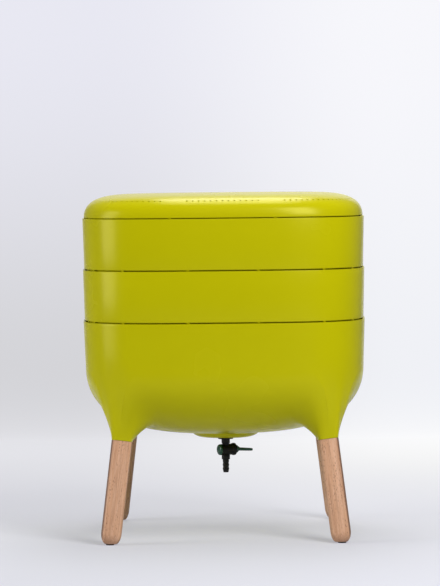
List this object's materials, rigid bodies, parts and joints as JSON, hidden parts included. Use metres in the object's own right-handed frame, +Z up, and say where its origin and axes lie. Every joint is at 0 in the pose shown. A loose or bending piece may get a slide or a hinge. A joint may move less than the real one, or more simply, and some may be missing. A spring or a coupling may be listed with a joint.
{
  "type": "wormery",
  "caption": "Stacking wormery: a bowl-bottomed tub on splayed wooden legs, two trays with holed floors, a vented lid and a small plug tap underneath.",
  "frame": {"origin": "floor level under the middle of the plan, which is also under the tap's outlet", "axes": "+Z up; -Y is the front, with the tap's paddle towards +X and turned a little to the back"},
  "size_m": [0.37, 0.37, 0.45],
  "materials": {
    "lime_plastic": "satin moulded",
    "coir": "felted fibre",
    "beech": "oiled",
    "zinc_steel": "zinc plated",
    "black_rubber": "matte",
    "black_plastic": "satin moulded",
    "green_plastic": "moulded"
  },
  "bodies": {
    "base": {"base_tub": "lime_plastic", "leg_back_right": "beech", "leg_back_left": "beech", "leg_front_left": "beech", "leg_front_right": "beech", "leg_screw_back_right": "zinc_steel", "leg_screw_back_left": "zinc_steel", "leg_screw_front_left": "zinc_steel", "leg_screw_front_right": "zinc_steel", "foot_glide_back_right": "black_rubber", "foot_glide_back_left": "black_rubber", "foot_glide_front_left": "black_rubber", "foot_glide_front_right": "black_rubber", "tap_body": "black_plastic", "outer_gasket": "black_rubber", "inner_gasket": "black_rubber", "lock_nut": "black_plastic"},
    "strainer": {"drain_strainer": "black_plastic"},
    "lower_tray": {"lower_tray": "lime_plastic"},
    "upper_tray": {"upper_tray": "lime_plastic"},
    "mat": {"coir_mat": "coir"},
    "lid": {"lid": "lime_plastic"},
    "tap_key": {"tap_key": "green_plastic", "tap_key_cap": "green_plastic", "key_seal_left": "black_rubber", "key_seal_right": "black_rubber"}
  },
  "joints": [
    {"name": "lower_tray_lift", "type": "slide", "parent": "base", "child": "lower_tray", "axis": [0, 0, 1], "range_m": [0, 0.12]},
    {"name": "upper_tray_lift", "type": "slide", "parent": "lower_tray", "child": "upper_tray", "axis": [0, 0, 1], "range_m": [0, 0.12]},
    {"name": "lid_lift", "type": "slide", "parent": "upper_tray", "child": "lid", "axis": [0, 0, 1], "range_m": [0, 0.12]},
    {"name": "mat_lift", "type": "slide", "parent": "upper_tray", "child": "mat", "axis": [0, 0, 1], "range_m": [0, 0.06]},
    {"name": "strainer_lift", "type": "slide", "parent": "base", "child": "strainer", "axis": [0, 0, 1], "range_m": [0, 0.1]},
    {"name": "tap_turn", "type": "hinge", "parent": "base", "child": "tap_key", "pos_m": [0, 0, 0.1091], "axis": [0.8746, 0.4848, 0], "range_deg": [0, 90]}
  ]
}
